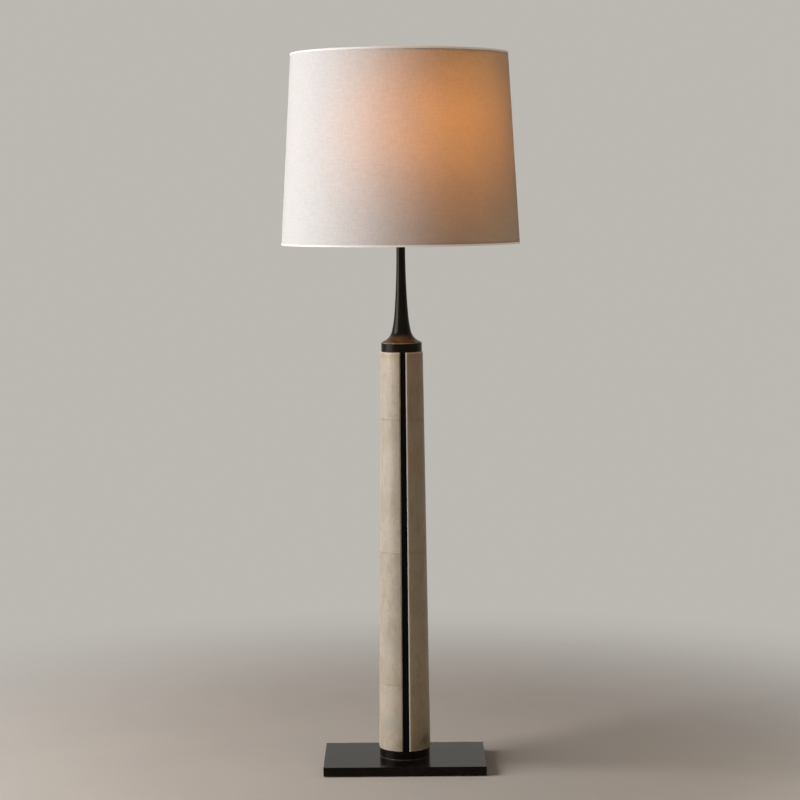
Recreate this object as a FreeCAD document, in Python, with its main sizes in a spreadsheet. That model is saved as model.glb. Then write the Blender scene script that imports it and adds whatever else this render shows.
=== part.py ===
import FreeCAD, Part
import math
import os
import Sketcher

# A column floor lamp: a slab base, a tapered column clad in parchment sheets with recessed dark strips
# between them, a trumpet neck, and a linen shade that hangs on a harp over a bulb in a switched lamp holder.
# Millimetres. +Z is up, the origin is the centre of the footprint on the floor, and -Y is the front.

V = FreeCAD.Vector
doc = FreeCAD.newDocument("ColumnFloorLamp")

# ---------------------------------------------------------------- driving dimensions

SIZES = {
    # base
    "pad_dia": 24, "pad_thick": 2, "pad_inset": 26,
    "plate_width": 365, "plate_depth": 229, "plate_thick": 20, "plate_corner": 1.5, "plate_edge": 0.8,
    "counterbore_dia": 36, "counterbore_depth": 10,
    "base_washer_dia": 28, "base_washer_thick": 2,
    "base_nut_flats": 17, "base_nut_thick": 5,
    # lamp rod
    "rod_dia": 10, "rod_bore": 7, "rod_clearance": 0.3, "rod_tail": 1, "rod_wire_hole": 6,
    # rings below and above the column
    "bottom_ring_dia": 113.4, "bottom_ring_height": 20, "bottom_ring_wall": 9, "bottom_ring_web": 6,
    "top_ring_dia": 91.2, "top_ring_height": 20.5, "ring_edge": 1.4,
    "spigot_height": 6, "spigot_clearance": 0.3,
    "inlet_dia": 11, "inlet_clearance": 0.2, "bushing_bore": 8, "bushing_flange_dia": 13.4,
    "bushing_flange_thick": 1.5, "bushing_tail": 1,
    # column
    "column_length": 903, "column_bottom_dia": 117.2, "column_top_dia": 96.1, "column_turn": 3.3,
    "sheet_thick": 4, "sheet_edge": 3, "seam_gap": 0.2, "seam_edge": 0.3,
    "strip_arc": 15.5, "strip_thick": 1, "strip_side_arc": 0.4,
    "glue_film": 0.25, "core_wall": 9,
    # neck
    "neck_height": 352.5, "neck_stem_dia": 19.8, "neck_flange_dia": 86, "neck_lip": 1.4,
    "neck_knee_dia": 42.6, "neck_knee_height": 25.5, "neck_waist_dia": 31.4, "neck_waist_height": 62,
    "neck_stem_start": 207, "neck_top_edge": 1,
    "neck_nut_flats": 15, "neck_nut_thick": 4,
    # harp
    "saddle_half_width": 32, "saddle_depth": 14, "saddle_thick": 2, "saddle_shoulder": 18,
    "tongue_height": 12, "tongue_width": 4.2,
    "harp_height": 258, "harp_half_width": 57, "harp_wire_dia": 4, "harp_leg_height": 38,
    "harp_bow_height": 93, "harp_shoulder_drop": 66, "harp_shoulder_half_width": 34,
    "harp_pad_dia": 13, "harp_pad_thick": 4.4, "stud_collar_thick": 1.5, "stud_dia": 6, "stud_length": 13,
    "rivet_dia": 4, "rivet_clearance": 0.1,
    "sleeve_wall": 1.2, "sleeve_length": 16, "sleeve_clearance": 0.4,
    # lamp holder
    "cap_dia": 34, "cap_height": 24, "cap_wall": 1, "hub_dia": 16, "hub_height": 7,
    "shell_overlap": 7, "shell_height": 44, "shell_wall": 0.8, "holder_clearance": 0.3,
    "paper_wall": 0.5, "holder_body_height": 19, "screw_shell_wall": 0.4, "screw_shell_height": 22,
    "contact_dia": 6, "contact_thick": 1.6, "contact_hole": 9,
    "switch_height": 10, "shaft_dia": 3.2, "shaft_hole": 6.4, "shaft_depth": 8,
    "knob_dia": 13, "knob_length": 12, "knob_gap": 2.5, "knob_bore_depth": 8, "knob_edge": 1.2,
    # bulb
    "bulb_base_dia": 26, "bulb_base_height": 25, "bulb_tip_dia": 8, "bulb_tip_height": 2,
    "bulb_base_taper": 6, "bulb_seat_gap": 0.3,
    "glass_dia": 60, "glass_height": 83, "glass_wall": 0.9, "glass_neck_dia": 26, "glass_neck_height": 4,
    "stem_dia": 16, "stem_top_dia": 5, "stem_foot_height": 12, "stem_height": 36,
    "filament_wire_dia": 0.8, "filament_lead": 6, "filament_height": 18, "filament_half_width": 11,
    # shade
    "shade_bottom_dia": 532.4, "shade_top_dia": 482.8, "shade_height": 423, "linen_thick": 0.8,
    "liner_thick": 0.8, "shade_film": 0.1, "hem_height": 4, "hem_thick": 0.5,
    "frame_wire_dia": 3.6, "frame_gap": 0.3,
    "spider_drop": 26, "spider_washer_dia": 26, "spider_washer_thick": 1.8, "spider_wire_dia": 3.6,
    "spider_bend_inset": 42,
    # finial
    "finial_foot_dia": 14, "finial_foot_height": 3.6, "finial_waist_dia": 8.6, "finial_waist_low": 6.8,
    "finial_waist_high": 9, "finial_head_dia": 17, "finial_height": 26, "finial_bore_depth": 16,
    "thread_clearance": 0.2,
}

sheet = doc.addObject("Spreadsheet::Sheet", "Sizes")
for row, (name, value) in enumerate(SIZES.items(), start=1):
    sheet.set(f"A{row}", name)
    sheet.set(f"B{row}", str(value))
    sheet.setAlias(f"B{row}", name)
doc.recompute()


def size(expression):
    """The number that an expression over the sheet's cells gives."""
    return float(FreeCAD.Units.Quantity(str(sheet.evalExpression(str(expression)))).Value)


def cell(name):
    return f"Sizes.{name}"


def half(name):
    return f"({cell(name)} / 2)"


# ---------------------------------------------------------------- heights and radii that follow from them

PLATE_TOP = f"({cell('pad_thick')} + {cell('plate_thick')})"
COLUMN_BOTTOM = f"({PLATE_TOP} + {cell('bottom_ring_height')})"
COLUMN_TOP = f"({COLUMN_BOTTOM} + {cell('column_length')})"
NECK_BOTTOM = f"({COLUMN_TOP} + {cell('top_ring_height')})"
NECK_TOP = f"({NECK_BOTTOM} + {cell('neck_height')})"
SADDLE_BOTTOM = f"({NECK_TOP} + {cell('neck_nut_thick')})"
SADDLE_TOP = f"({SADDLE_BOTTOM} + {cell('saddle_thick')})"
HARP_SEAT = f"({SADDLE_TOP} + {cell('harp_height')})"
SHADE_TOP = f"({HARP_SEAT} + {cell('spider_drop')})"
SHADE_BOTTOM = f"({SHADE_TOP} - {cell('shade_height')})"

COUNTERBORE_TOP = f"({cell('pad_thick')} + {cell('counterbore_depth')})"
BASE_NUT_TOP = f"({COUNTERBORE_TOP} - {cell('base_washer_thick')})"
BASE_NUT_BOTTOM = f"({BASE_NUT_TOP} - {cell('base_nut_thick')})"
ROD_BOTTOM = f"({BASE_NUT_BOTTOM} - {cell('rod_tail')})"

ROD_HOLE = f"({half('rod_dia')} + {cell('rod_clearance')})"
INLET_HEIGHT = f"({PLATE_TOP} + ({cell('bottom_ring_height')} - {cell('bottom_ring_web')}) / 2)"

SHELL_BOTTOM = f"({SADDLE_TOP} + {cell('cap_height')} - {cell('shell_overlap')})"
SHELL_RADIUS = f"({half('cap_dia')} - {cell('cap_wall')} - {cell('holder_clearance')})"
PAPER_RADIUS = f"({SHELL_RADIUS} - {cell('shell_wall')} - {cell('holder_clearance')})"
HOLDER_BODY_RADIUS = f"({PAPER_RADIUS} - {cell('paper_wall')} - {cell('holder_clearance')})"
HOLDER_BODY_TOP = f"({SHELL_BOTTOM} + {cell('holder_body_height')})"
SWITCH_HEIGHT = f"({SHELL_BOTTOM} + {cell('switch_height')})"
CONTACT_TOP = f"({HOLDER_BODY_TOP} + {cell('contact_thick')})"
BULB_BOTTOM = f"({CONTACT_TOP} + {cell('bulb_seat_gap')})"
GLASS_BOTTOM = f"({BULB_BOTTOM} + {cell('bulb_base_height')})"

QUARTER = 90
HALF_SHEETS_IN_COLUMN = 6
# each row's first and last seam, in half sheets from the bottom
SHEET_ROWS = ((0, 1), (1, 3), (3, 5), (5, 6))
QUARTER_NAMES = ("front_right", "back_right", "back_left", "front_left")
STRIP_NAMES = ("front", "right", "back", "left")
SPOKES = 3
NEAR = 0.01  # lengths closer than this are taken as equal


def column_radius(height):
    """Outer radius of the cladding at a height above the column's bottom."""
    slope = f"(({cell('column_bottom_dia')} - {cell('column_top_dia')}) / 2 / {cell('column_length')})"
    return f"({half('column_bottom_dia')} - {slope} * ({height}))"


def core_radius(height):
    """Outer radius of the core, behind the sheets and their glue film."""
    return f"({column_radius(height)} - {cell('sheet_thick')} - {cell('glue_film')})"


def core_bore(height):
    return f"({core_radius(height)} - {cell('core_wall')})"


def shade_radius(height):
    """Outer radius of the linen at a height above the shade's bottom edge."""
    slope = f"(({cell('shade_bottom_dia')} - {cell('shade_top_dia')}) / 2 / {cell('shade_height')})"
    return f"({half('shade_bottom_dia')} - {slope} * ({height}))"


def liner_radius(height):
    return f"({shade_radius(height)} - {cell('linen_thick')} - {cell('shade_film')})"


def shade_inside(height):
    return f"({liner_radius(height)} - {cell('liner_thick')})"


def frame_ring_radius(height):
    """Radius of a shade wire's centre line, just inside the shade's lining."""
    return f"({shade_inside(height)} - {half('frame_wire_dia')} - {cell('frame_gap')})"


# ---------------------------------------------------------------- outlines, and bodies made from them

NODES = []


def place(piece, height, turn=None):
    """Stands a piece at a height on the lamp's axis, turned about it by an angle in degrees."""
    piece.Placement = FreeCAD.Placement(V(0, 0, 0), FreeCAD.Rotation(V(0, 0, 1), 1))
    piece.setExpression("Placement.Rotation.Angle", str(turn) if turn is not None else "0")
    piece.setExpression("Placement.Base.z", height)


def node(piece, label):
    piece.Label = label
    NODES.append(piece)
    return piece


def new_body(label):
    return node(doc.addObject("PartDesign::Body", f"Body_{label}"), label)


def origin_plane(body, role):
    return next(plane for plane in body.Origin.OriginFeatures if plane.Role == role)


def chord_centre(start, end, radius, side):
    """Centre of the short arc from start to end: on the left (+1) or the right (-1) of the way."""
    chord = end - start
    left = V(-chord.y, chord.x, 0).normalize()
    return (start + end) * 0.5 + left * (side * math.sqrt(radius ** 2 - (chord.Length / 2) ** 2))


def tangent_centre(start, heading, end):
    """Centre of the arc that leaves start along heading and ends at end, and the side that it lies on."""
    chord = end - start
    turn = math.atan2(heading.x * chord.y - heading.y * chord.x, heading.dot(chord))
    left = V(-heading.y, heading.x, 0).normalize()
    return start + left * (chord.Length / 2 / math.sin(turn)), math.copysign(1, turn)


def arc_about(centre, start, end, side):
    """The arc from start to end about a centre, drawn counter-clockwise whichever way it is travelled."""
    first, last = (start, end) if side > 0 else (end, start)
    angles = [math.atan2(point.y - centre.y, point.x - centre.x) for point in (first, last)]
    if angles[1] <= angles[0]:
        angles[1] += 2 * math.pi
    return Part.ArcOfCircle(Part.Circle(centre, V(0, 0, 1), (start - centre).Length), *angles)


def hold(sketch, geometry, spot, corner):
    """Holds one point of a sketch at its distances from the origin, each bound to its expression."""
    for kind, axis, expression in (("DistanceX", -2, corner[0]), ("DistanceY", -1, corner[1])):
        if expression == "0":
            sketch.addConstraint(Sketcher.Constraint("PointOnObject", geometry, spot, axis))
        else:
            held = sketch.addConstraint(Sketcher.Constraint(kind, -1, 1, geometry, spot, size(expression)))
            sketch.setExpression(f"Constraints[{held}]", expression)


def sketch_on(body, name, role):
    sketch = body.newObject("Sketcher::SketchObject", name)
    sketch.AttachmentSupport = [(origin_plane(body, role), "")]
    sketch.MapMode = "FlatFace"
    return sketch


def outline(body, name, role, corners):
    """A closed sketch through corners, each held at its own distances from the origin.

    A corner is (x, y) at the end of a straight line, (x, y, radius, side) at the end of an arc of that
    radius, or (x, y, "tangent") at the end of an arc that carries on smoothly from the line or arc before it.
    """
    sketch = sketch_on(body, name, role)
    points = [V(size(corner[0]), size(corner[1]), 0) for corner in corners]
    arrivals = [corner[2:] for corner in corners[1:] + corners[:1]]
    heading = None
    spots = []
    for start, end, arrival in zip(points, points[1:] + points[:1], arrivals):
        if not arrival:
            sketch.addGeometry(Part.LineSegment(start, end), False)
            heading, spot = end - start, (1, 2)
        else:
            if arrival[0] == "tangent":
                centre, side = tangent_centre(start, heading, end)
            else:
                side = arrival[1]
                centre = chord_centre(start, end, size(arrival[0]), side)
            sketch.addGeometry(arc_about(centre, start, end, side), False)
            heading = V(centre.y - end.y, end.x - centre.x, 0) * side
            spot = (1, 2) if side > 0 else (2, 1)
        spots.append(spot)
    for i, arrival in enumerate(arrivals):
        kind = "Tangent" if arrival[:1] == ("tangent",) else "Coincident"
        before = (i - 1) % len(corners)
        sketch.addConstraint(Sketcher.Constraint(kind, before, spots[before][1], i, spots[i][0]))
        if arrival and kind == "Coincident":
            held = sketch.addConstraint(Sketcher.Constraint("Radius", i, size(arrival[0])))
            sketch.setExpression(f"Constraints[{held}]", arrival[0])
        hold(sketch, i, spots[i][0], corners[i])
    return sketch


def revolved(label, corners, height, turn=None, arc=None):
    """A body turned about the lamp's axis from a half section of (radius, height) corners."""
    body = new_body(label)
    sketch = outline(body, f"{label}_section", "XZ_Plane", corners)
    turning = body.newObject("PartDesign::Revolution", f"{label}_turned")
    turning.Profile = sketch
    turning.ReferenceAxis = (sketch, ["V_Axis"])
    if arc is None:
        turning.Angle = 360
    else:
        turning.Midplane = True
        turning.setExpression("Angle", arc)
    place(body, height, turn)
    sketch.Visibility = False
    return body


def padded(body, name, role, corners, length, both_ways=False):
    """Adds a slab with the outline of corners to a body, to one side of its plane or to both."""
    sketch = outline(body, f"{name}_outline", role, corners)
    pad = body.newObject("PartDesign::Pad", name)
    pad.Profile = sketch
    pad.setExpression("Length", length)
    if both_ways:
        pad.SideType = "Symmetric"
    return pad


def bored(body, name, role, centre, diameter, depth=None, reverse=False):
    """Bores a round hole square to a plane of the body's own origin, and makes sure that it removes metal."""
    doc.recompute()
    before = body.Shape.Volume
    sketch = sketch_on(body, f"{name}_circle", role)
    middle = V(size(centre[0]), size(centre[1]), 0)
    sketch.addGeometry(Part.Circle(middle, V(0, 0, 1), size(diameter) / 2), False)
    held = sketch.addConstraint(Sketcher.Constraint("Diameter", 0, size(diameter)))
    sketch.setExpression(f"Constraints[{held}]", diameter)
    hold(sketch, 0, 3, centre)
    pocket = body.newObject("PartDesign::Pocket", name)
    pocket.Profile = sketch
    pocket.Reversed = reverse
    if depth is None:
        pocket.Type = "ThroughAll"
    else:
        pocket.setExpression("Length", depth)
    doc.recompute()
    if body.Shape.Volume > before - NEAR:
        raise RuntimeError(f"{name} removes nothing")


def rounded(body, name, radius, wanted):
    """Rounds the edges of a body that the wanted function picks."""
    doc.recompute()
    edges = [f"Edge{i}" for i, edge in enumerate(body.Tip.Shape.Edges, start=1) if wanted(edge)]
    if not edges:
        raise RuntimeError(f"{name} finds no edge")
    base = body.Tip
    fillet = body.newObject("PartDesign::Fillet", name)
    fillet.Base = (base, edges)
    fillet.setExpression("Radius", radius)
    body.Tip = fillet
    return fillet


def edge_radius(edge):
    """Distance of an edge's first point from the body's upright axis."""
    point = edge.Vertexes[0].Point
    return math.hypot(point.x, point.y)


def is_ring(edge, radius, height):
    """True for a circle about the upright axis at a radius and height, both in the body's own frame."""
    level = edge.BoundBox.ZLength < NEAR and abs(edge.Vertexes[0].Point.z - size(height)) < NEAR
    return level and edge.Curve.TypeId == "Part::GeomCircle" and abs(edge_radius(edge) - size(radius)) < NEAR


def tube_corners(outer, inner, length):
    return [(inner, "0"), (outer, "0"), (outer, length), (inner, length)]


def rounded_path(points):
    """A wire through points, its corners rounded by arcs as large as the runs beside them allow."""
    share = 0.45
    edges = []
    last = points[0]
    for before, corner, after in zip(points, points[1:], points[2:]):
        back, ahead = (before - corner), (after - corner)
        turn = math.pi - back.getAngle(ahead)
        trim = share * min(back.Length, ahead.Length)
        entry = corner + V(back).normalize() * trim
        leave = corner + V(ahead).normalize() * trim
        radius = trim / math.tan(turn / 2)
        inward = ((entry + leave) * 0.5 - corner).normalize()
        middle = corner + inward * (math.hypot(radius, trim) - radius)
        edges.append(Part.LineSegment(last, entry).toShape())
        edges.append(Part.Arc(entry, middle, leave).toShape())
        last = leave
    edges.append(Part.LineSegment(last, points[-1]).toShape())
    return Part.Wire(edges)


def wire_solid(points, diameter):
    """A round wire bent along points."""
    path = rounded_path(points)
    ring = Part.Wire(Part.makeCircle(diameter / 2, points[0], points[1] - points[0]))
    return path.makePipeShell([ring], True, True)


def shaped(label, shape, height, turn=None):
    """A node whose solid is worked out here from the sheet's sizes."""
    feature = node(doc.addObject("Part::Feature", f"Solid_{label}"), label)
    feature.Shape = shape
    place(feature, height, turn)
    return feature


# ---------------------------------------------------------------- base

def make_pads():
    """Four thin discs under the plate's corners."""
    discs = []
    for name, x_sign, y_sign in (("front_left", "-", "-"), ("front_right", "", "-"),
                                 ("back_left", "-", ""), ("back_right", "", "")):
        disc = doc.addObject("Part::Cylinder", f"Pad_{name}")
        disc.setExpression("Radius", half("pad_dia"))
        disc.setExpression("Height", cell("pad_thick"))
        disc.setExpression("Placement.Base.x", f"{x_sign}({half('plate_width')} - {cell('pad_inset')})")
        disc.setExpression("Placement.Base.y", f"{y_sign}({half('plate_depth')} - {cell('pad_inset')})")
        discs.append(disc)
    group = node(doc.addObject("Part::Compound", "Pads"), "foot_pads")
    group.Links = discs


def make_plate():
    """A steel slab with a clearance hole for the rod and a counterbore for its nut."""
    body = new_body("base_plate")
    wide, deep = half("plate_width"), half("plate_depth")
    corners = [(f"-{wide}", f"-{deep}"), (wide, f"-{deep}"), (wide, deep), (f"-{wide}", deep)]
    padded(body, "plate_slab", "XY_Plane", corners, cell("plate_thick"))
    bored(body, "plate_counterbore", "XY_Plane", ("0", "0"), cell("counterbore_dia"),
          cell("counterbore_depth"), reverse=True)
    bored(body, "plate_rod_hole", "XY_Plane", ("0", "0"), f"2 * {ROD_HOLE}", reverse=True)
    beyond_bores = size(half("plate_depth")) - NEAR
    rounded(body, "plate_corners", cell("plate_corner"),
            lambda edge: edge.BoundBox.ZLength > NEAR and edge_radius(edge) > beyond_bores)
    rounded(body, "plate_edges", cell("plate_edge"),
            lambda edge: edge.BoundBox.ZLength < NEAR and edge_radius(edge) > beyond_bores)
    place(body, cell("pad_thick"))


def hex_nut(label, flats, thick, bottom):
    """A hexagonal nut on the lamp rod."""
    body = new_body(label)
    corner = f"({cell(flats)} / 2 / cos(30))"
    corners = []
    for step in range(6):
        x, y = f"({corner} * cos({60 * step}))", f"({corner} * sin({60 * step}))"
        corners.append((x, "0" if step % 3 == 0 else y))
    padded(body, f"{label}_hexagon", "XY_Plane", corners, cell(thick))
    bored(body, f"{label}_thread", "XY_Plane", ("0", "0"),
          f"({cell('rod_dia')} + 2 * {cell('thread_clearance')})", reverse=True)
    place(body, bottom)


def make_rod():
    """The threaded lamp rod, bored for the wires, with a side hole where they enter it."""
    top = f"({SADDLE_TOP} + {cell('hub_height')} - {ROD_BOTTOM})"
    body = revolved("lamp_rod", tube_corners(half("rod_dia"), half("rod_bore"), top), ROD_BOTTOM)
    bored(body, "rod_wire_hole", "XZ_Plane", ("0", f"({INLET_HEIGHT} - {ROD_BOTTOM})"), cell("rod_wire_hole"))


def make_bottom_ring():
    """A collar: a hollow for the wires below its web, a spigot that centres the core, the cord inlet."""
    outer, hollow = half("bottom_ring_dia"), f"({half('bottom_ring_dia')} - {cell('bottom_ring_wall')})"
    tall = cell("bottom_ring_height")
    web = f"({tall} - {cell('bottom_ring_web')})"
    spigot_top = f"({tall} + {cell('spigot_height')})"
    spigot = f"({core_bore(cell('spigot_height'))} - {cell('spigot_clearance')})"
    corners = [(hollow, "0"), (outer, "0"), (outer, tall), (spigot, tall), (spigot, spigot_top),
               (ROD_HOLE, spigot_top), (ROD_HOLE, web), (hollow, web)]
    body = revolved("bottom_ring", corners, PLATE_TOP)
    bored(body, "bottom_ring_inlet", "XZ_Plane", ("0", f"({INLET_HEIGHT} - {PLATE_TOP})"), cell("inlet_dia"))
    rounded(body, "bottom_ring_edges", cell("ring_edge"), lambda edge: is_ring(edge, outer, "0"))


def make_bushing():
    """The flanged bushing that lines the cord inlet; its axis is level and points to the back."""
    body = new_body("cord_bushing")
    shank = f"({half('inlet_dia')} - {cell('inlet_clearance')})"
    flange, bore = half("bushing_flange_dia"), half("bushing_bore")
    deep = f"({cell('bottom_ring_wall')} + {cell('bushing_tail')})"
    step = cell("bushing_flange_thick")
    corners = [(bore, "0"), (shank, "0"), (shank, deep), (flange, deep), (flange, f"({deep} + {step})"),
               (bore, f"({deep} + {step})")]
    sketch = outline(body, "bushing_section", "XY_Plane", corners)
    turning = body.newObject("PartDesign::Revolution", "bushing_turned")
    turning.Profile = sketch
    turning.ReferenceAxis = (sketch, ["V_Axis"])
    turning.Angle = 360
    body.setExpression("Placement.Base.y", f"{half('bottom_ring_dia')} - {deep}")
    body.setExpression("Placement.Base.z", INLET_HEIGHT)


# ---------------------------------------------------------------- column

def make_core():
    """The hollow tapered core between the two rings."""
    tall = cell("column_length")
    revolved("column_core", [(core_bore("0"), "0"), (core_radius("0"), "0"), (core_radius(tall), tall),
                             (core_bore(tall), tall)], COLUMN_BOTTOM, cell("column_turn"))


def make_strips():
    """Four thin dark strips glued to the core in the gaps between the sheets."""
    tall = cell("column_length")
    arc = f"({cell('strip_arc')} - 2 * {cell('strip_side_arc')})"
    for quarter, name in enumerate(STRIP_NAMES):
        corners = []
        for height in ("0", tall):
            back = f"({core_radius(height)} + {cell('glue_film')})"
            face = f"({back} + {cell('strip_thick')})"
            corners += [(back, height), (face, height)] if height == "0" else [(face, height), (back, height)]
        turn = f"({QUARTER} * {quarter - 1} + {cell('column_turn')})"
        revolved(f"strip_{name}", corners, COLUMN_BOTTOM, turn, arc)


def make_sheet(row, quarter, name):
    """One parchment sheet: a quarter of the column less the strip's gap, rounded where its edges show."""
    first, last = SHEET_ROWS[row]
    step = f"{cell('column_length')} / {HALF_SHEETS_IN_COLUMN}"
    low = "0" if row == 0 else f"({step} * {first} + {half('seam_gap')})"
    high = cell("column_length") if row == len(SHEET_ROWS) - 1 else f"({step} * {last} - {half('seam_gap')})"
    tall = f"({high} - {low})"
    thick = cell("sheet_thick")
    outer_low, outer_high = column_radius(low), column_radius(high)
    corners = [(f"({outer_low} - {thick})", "0"), (outer_low, "0"), (outer_high, tall),
               (f"({outer_high} - {thick})", tall)]
    turn = f"({QUARTER} * {quarter} - {QUARTER} / 2 + {cell('column_turn')})"
    body = revolved(f"sheet_{name}_{row + 1}", corners, f"{COLUMN_BOTTOM} + {low}", turn,
                    f"({QUARTER} - {cell('strip_arc')})")
    doc.recompute()
    middle_radius = (size(outer_low) + size(outer_high) - size(thick)) / 2
    ends = {0: "0", len(SHEET_ROWS) - 1: tall}
    seams = [(outer_low, "0")] * (row > 0) + [(outer_high, tall)] * (row < len(SHEET_ROWS) - 1)

    def shows(edge):
        side = edge.Curve.TypeId == "Part::GeomLine" and abs(edge.BoundBox.ZLength - size(tall)) < NEAR
        centre = edge.CenterOfMass
        outer_side = side and math.hypot(centre.x, centre.y) > middle_radius
        end_radius = outer_low if row == 0 else outer_high
        return outer_side or (row in ends and is_ring(edge, end_radius, ends[row]))

    rounded(body, f"edges_{name}_{row + 1}", cell("sheet_edge"), shows)
    rounded(body, f"seams_{name}_{row + 1}", cell("seam_edge"),
            lambda edge: any(is_ring(edge, radius, height) for radius, height in seams))


def make_top_ring():
    """A turned cap on the column, with a spigot down into the core."""
    outer, tall = half("top_ring_dia"), cell("top_ring_height")
    spigot = f"({core_bore(cell('column_length'))} - {cell('spigot_clearance')})"
    down = f"-{cell('spigot_height')}"
    corners = [(ROD_HOLE, down), (spigot, down), (spigot, "0"), (outer, "0"), (outer, tall), (ROD_HOLE, tall)]
    body = revolved("top_ring", corners, COLUMN_TOP)
    rounded(body, "top_ring_edges", cell("ring_edge"), lambda edge: is_ring(edge, outer, tall))


# ---------------------------------------------------------------- neck and harp

def make_neck():
    """The trumpet neck: a straight stem that flares by three smooth arcs into a thin-lipped flange."""
    stem, tall = half("neck_stem_dia"), cell("neck_height")
    corners = [(ROD_HOLE, tall), (stem, tall), (stem, cell("neck_stem_start")),
               (half("neck_waist_dia"), cell("neck_waist_height"), "tangent"),
               (half("neck_knee_dia"), cell("neck_knee_height"), "tangent"),
               (half("neck_flange_dia"), cell("neck_lip"), "tangent"),
               (half("neck_flange_dia"), "0"), (ROD_HOLE, "0")]
    body = revolved("neck", corners, NECK_BOTTOM)
    rounded(body, "neck_top", cell("neck_top_edge"), lambda edge: is_ring(edge, stem, tall))


def make_saddle():
    """A bent strip: a flat clamped on the rod, two arms up, and a narrow tongue on top of each arm."""
    body = new_body("harp_saddle")
    wide, thick = cell("saddle_half_width"), cell("saddle_thick")
    inner = f"({wide} - {thick})"
    shoulder = cell("saddle_shoulder")
    padded(body, "saddle_strip", "XZ_Plane",
           [(f"-{wide}", "0"), (wide, "0"), (wide, shoulder), (inner, shoulder), (inner, thick),
            (f"-{inner}", thick), (f"-{inner}", shoulder), (f"-{wide}", shoulder)],
           cell("saddle_depth"), both_ways=True)
    tip = f"({shoulder} + {cell('tongue_height')})"
    for side, near, far in (("right", inner, wide), ("left", f"-{wide}", f"-{inner}")):
        padded(body, f"saddle_tongue_{side}", "XZ_Plane",
               [(near, shoulder), (far, shoulder), (far, tip), (near, tip)], cell("tongue_width"),
               both_ways=True)
    bored(body, "saddle_rod_hole", "XY_Plane", ("0", "0"), f"2 * {ROD_HOLE}", f"(2 * {thick})", reverse=True)
    place(body, SADDLE_BOTTOM)


def harp_line():
    """Corners of the harp's centre line from the left tongue over the top to the right one.

    Heights are above the saddle's underside. The leg leaves the tongue upright, bows out round the bulb and
    closes in to the pad under the shade.
    """
    leg = size(f"{cell('saddle_half_width')} - {half('saddle_thick')}")
    foot = size(f"{cell('saddle_shoulder')} + {cell('tongue_height')}")
    top = size(f"{cell('saddle_thick')} + {cell('harp_height')} - {cell('stud_collar_thick')}"
               f" - {half('harp_pad_thick')}")
    wide = size(cell("harp_half_width"))
    side = [V(leg, 0, foot), V(leg, 0, foot + size(cell("harp_leg_height"))),
            V(wide, 0, foot + size(cell("harp_bow_height"))),
            V(wide, 0, top - size(cell("harp_shoulder_drop"))),
            V(size(cell("harp_shoulder_half_width")), 0, top)]
    return [V(-point.x, 0, point.z) for point in side] + side[::-1], top


def make_harp():
    """A round wire hoop with a flattened pad at its top, pierced for the stud's rivet."""
    points, top = harp_line()
    pad_thick = size(cell("harp_pad_thick"))
    pad = Part.makeCylinder(size(half("harp_pad_dia")), pad_thick, V(0, 0, top - pad_thick / 2))
    hoop = wire_solid(points, size(cell("harp_wire_dia"))).fuse(pad)
    hole = size(f"{half('rivet_dia')} + {cell('rivet_clearance')}")
    shaped("harp", hoop.cut(Part.makeCylinder(hole, 2 * pad_thick, V(0, 0, top - pad_thick))), SADDLE_BOTTOM)


def make_stud():
    """The shade's threaded stud: a rivet through the harp's pad, a collar that seats the shade, a thread."""
    collar, pad = cell("stud_collar_thick"), cell("harp_pad_thick")
    rivet, thread = half("rivet_dia"), half("stud_dia")
    low, seat = f"-({collar} + {pad})", f"-{collar}"
    corners = [("0", low), (rivet, low), (rivet, seat), (half("harp_pad_dia"), seat),
               (half("harp_pad_dia"), "0"), (thread, "0"), (thread, cell("stud_length")),
               ("0", cell("stud_length"))]
    revolved("harp_stud", corners, HARP_SEAT)


def make_sleeves():
    """Two sleeves that lock the harp's legs to the saddle's tongues and slide up to free them."""
    tongue = f"sqrt({cell('tongue_width')} ^ 2 + {cell('saddle_thick')} ^ 2) / 2"
    inner = f"(max({tongue}; {half('harp_wire_dia')}) + {cell('sleeve_clearance')})"
    outer = f"({inner} + {cell('sleeve_wall')})"
    leg = f"({cell('saddle_half_width')} - {half('saddle_thick')})"
    for side, sign in (("left", "-"), ("right", "")):
        body = revolved(f"harp_sleeve_{side}", tube_corners(outer, inner, cell("sleeve_length")),
                        f"{SADDLE_BOTTOM} + {cell('saddle_shoulder')}")
        body.setExpression("Placement.Base.x", f"{sign}{leg}")


# ---------------------------------------------------------------- lamp holder, switch and bulb

def make_holder_cap():
    """The cup at the holder's foot: a hub screwed on the rod and a skirt that the shell plugs into."""
    hub, rim, wall = half("hub_dia"), half("cap_dia"), cell("cap_wall")
    low, tall = cell("hub_height"), cell("cap_height")
    turn_in = f"({low} + {rim} - {hub} - {wall})"
    thread = f"({half('rod_dia')} + {cell('thread_clearance')})"
    corners = [(thread, "0"), (hub, "0"), (hub, f"({low} - {wall})"),
               (rim, f"({turn_in})", f"({rim} - {hub})", 1), (rim, tall), (f"({rim} - {wall})", tall),
               (f"({rim} - {wall})", f"({turn_in} + {wall})"),
               (f"({hub} + {wall})", f"({low} + {wall})"), (thread, f"({low} + {wall})")]
    revolved("holder_cap", corners, SADDLE_TOP)


def make_holder_shells():
    """The metal shell and, inside it, the paper sleeve, both open to the switch shaft at the front."""
    tall = cell("shell_height")
    for label, radius, wall in (("holder_shell", SHELL_RADIUS, cell("shell_wall")),
                                ("holder_paper", PAPER_RADIUS, cell("paper_wall"))):
        body = revolved(label, tube_corners(radius, f"({radius} - {wall})", tall), SHELL_BOTTOM)
        bored(body, f"{label}_switch_hole", "XZ_Plane", ("0", cell("switch_height")), cell("shaft_hole"),
              reverse=True)


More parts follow.
